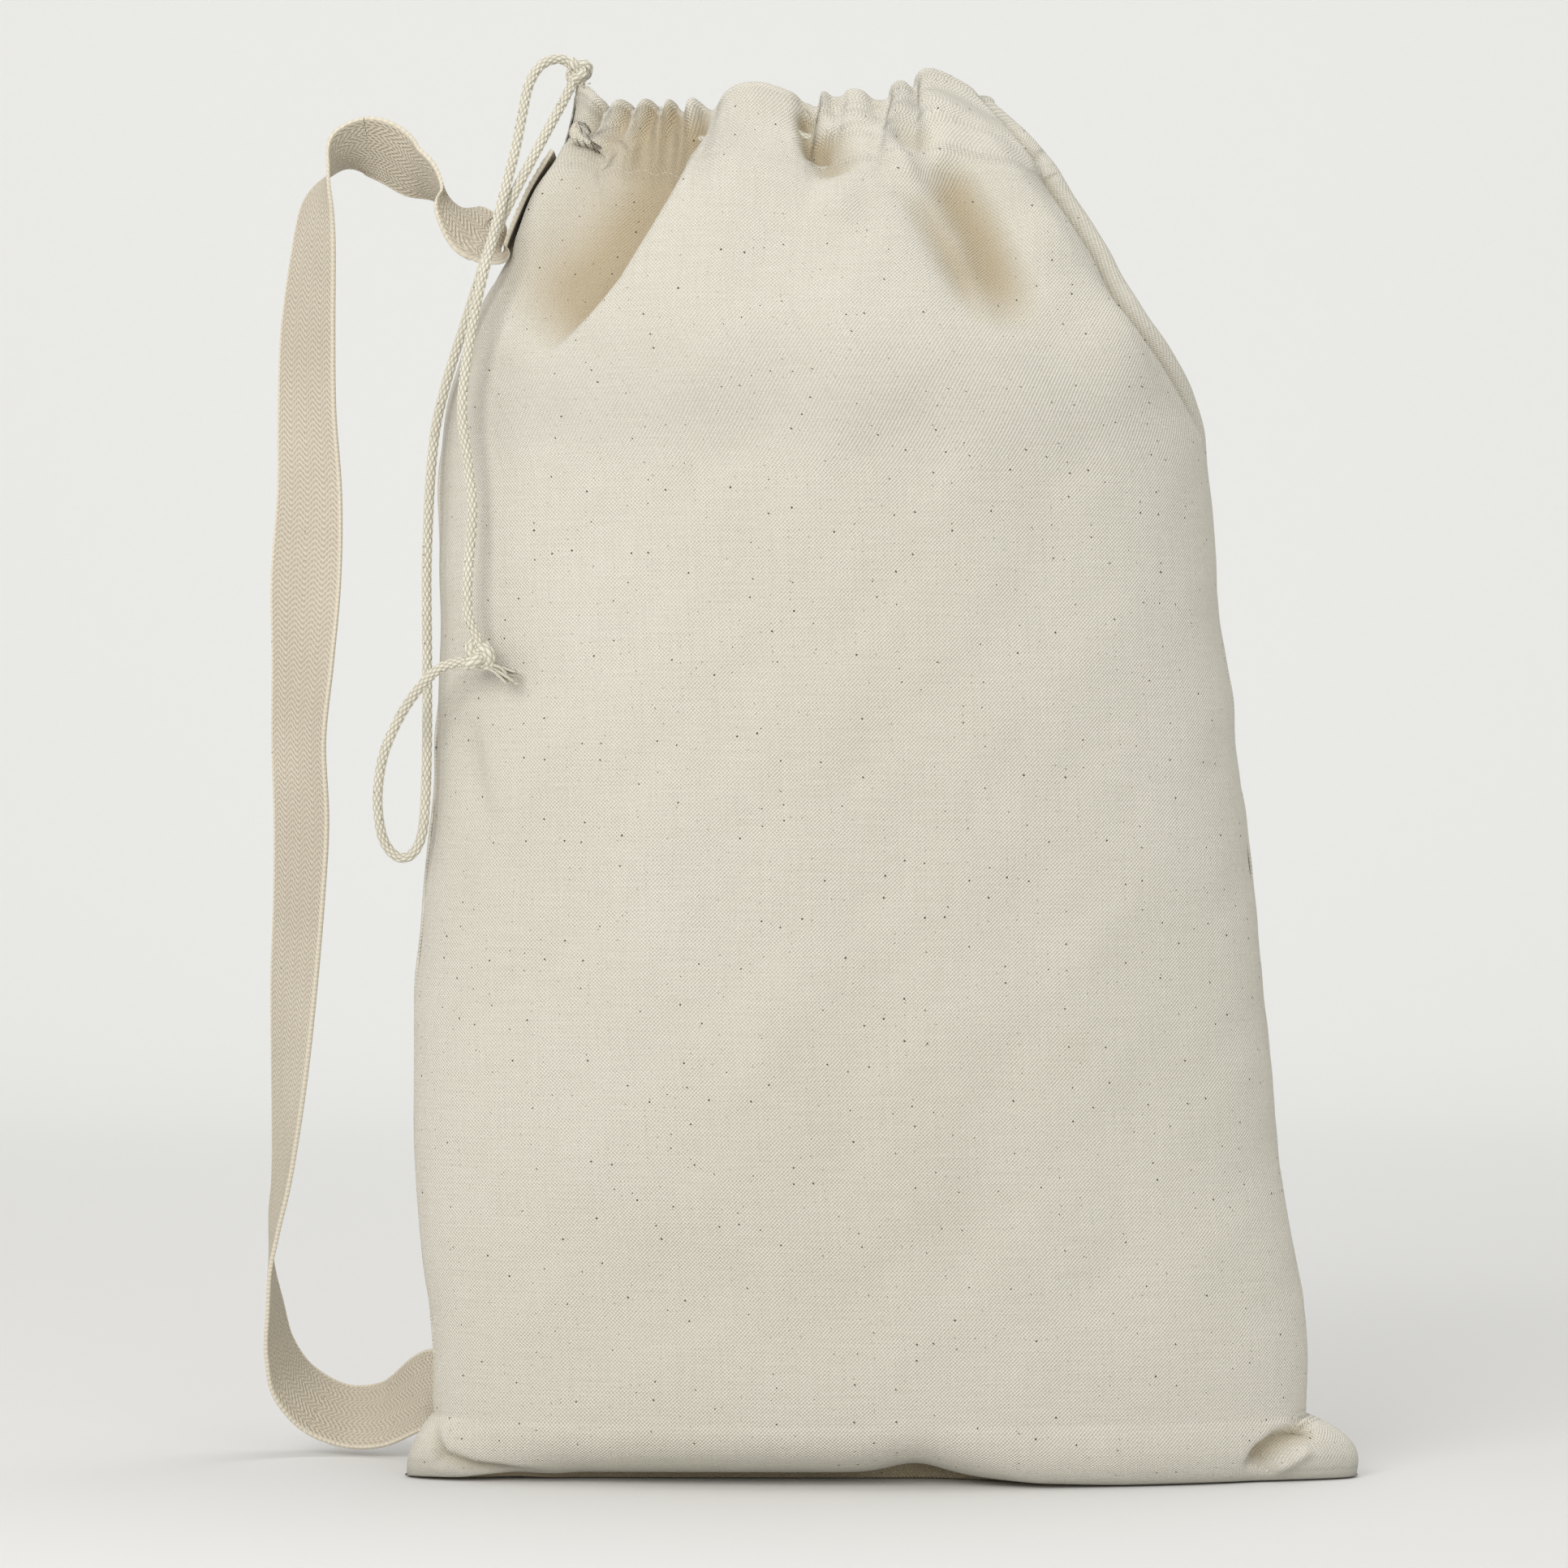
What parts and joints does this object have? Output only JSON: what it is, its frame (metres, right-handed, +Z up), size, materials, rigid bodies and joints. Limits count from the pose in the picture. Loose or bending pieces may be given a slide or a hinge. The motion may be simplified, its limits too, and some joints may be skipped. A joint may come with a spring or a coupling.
{
  "type": "laundry bag",
  "caption": "Standing canvas laundry bag with a gathered drawstring mouth, a knotted cord loop and a webbing shoulder strap on its left side.",
  "frame": {"origin": "middle of the flat base, on the floor", "axes": "+Z up, the front panel faces -Y, +X to the right of the front panel, the strap is on the -X side"},
  "size_m": [0.5294, 0.194, 0.6794],
  "materials": {
    "canvas": "matt natural cotton canvas with small dark seed flecks",
    "webbing": "matt heavy cotton webbing with a herringbone relief",
    "cord": "matt braided cotton",
    "thread": "matt cotton sewing thread"
  },
  "bodies": {
    "bag": {"front_panel": "canvas", "back_panel": "canvas", "front_casing": "canvas", "back_casing": "canvas", "casing_stitching": "thread", "left_side_seam": "canvas", "right_side_seam": "canvas", "bottom_seam": "canvas", "exit_bartacks": "thread", "casing_cord": "cord", "strap_top_end": "webbing", "strap_bottom_end": "webbing", "strap_top_stitching": "thread", "strap_bottom_stitching": "thread"},
    "strap": {"strap": "webbing"},
    "drawstring": {"exit_knot": "cord", "exit_strands": "cord", "drawstring": "cord", "end_knot": "cord", "frayed_tails": "cord"}
  },
  "joints": [
    {"name": "strap_swing", "type": "hinge", "parent": "bag", "child": "strap", "pos_m": [-0.205, 0, 0.611], "axis": [-0.0278, 0.095, -0.9951], "range_deg": [0, 90]},
    {"name": "drawstring_pull", "type": "slide", "parent": "bag", "child": "drawstring", "axis": [0, 0, 1], "range_m": [0, 0.024]}
  ]
}
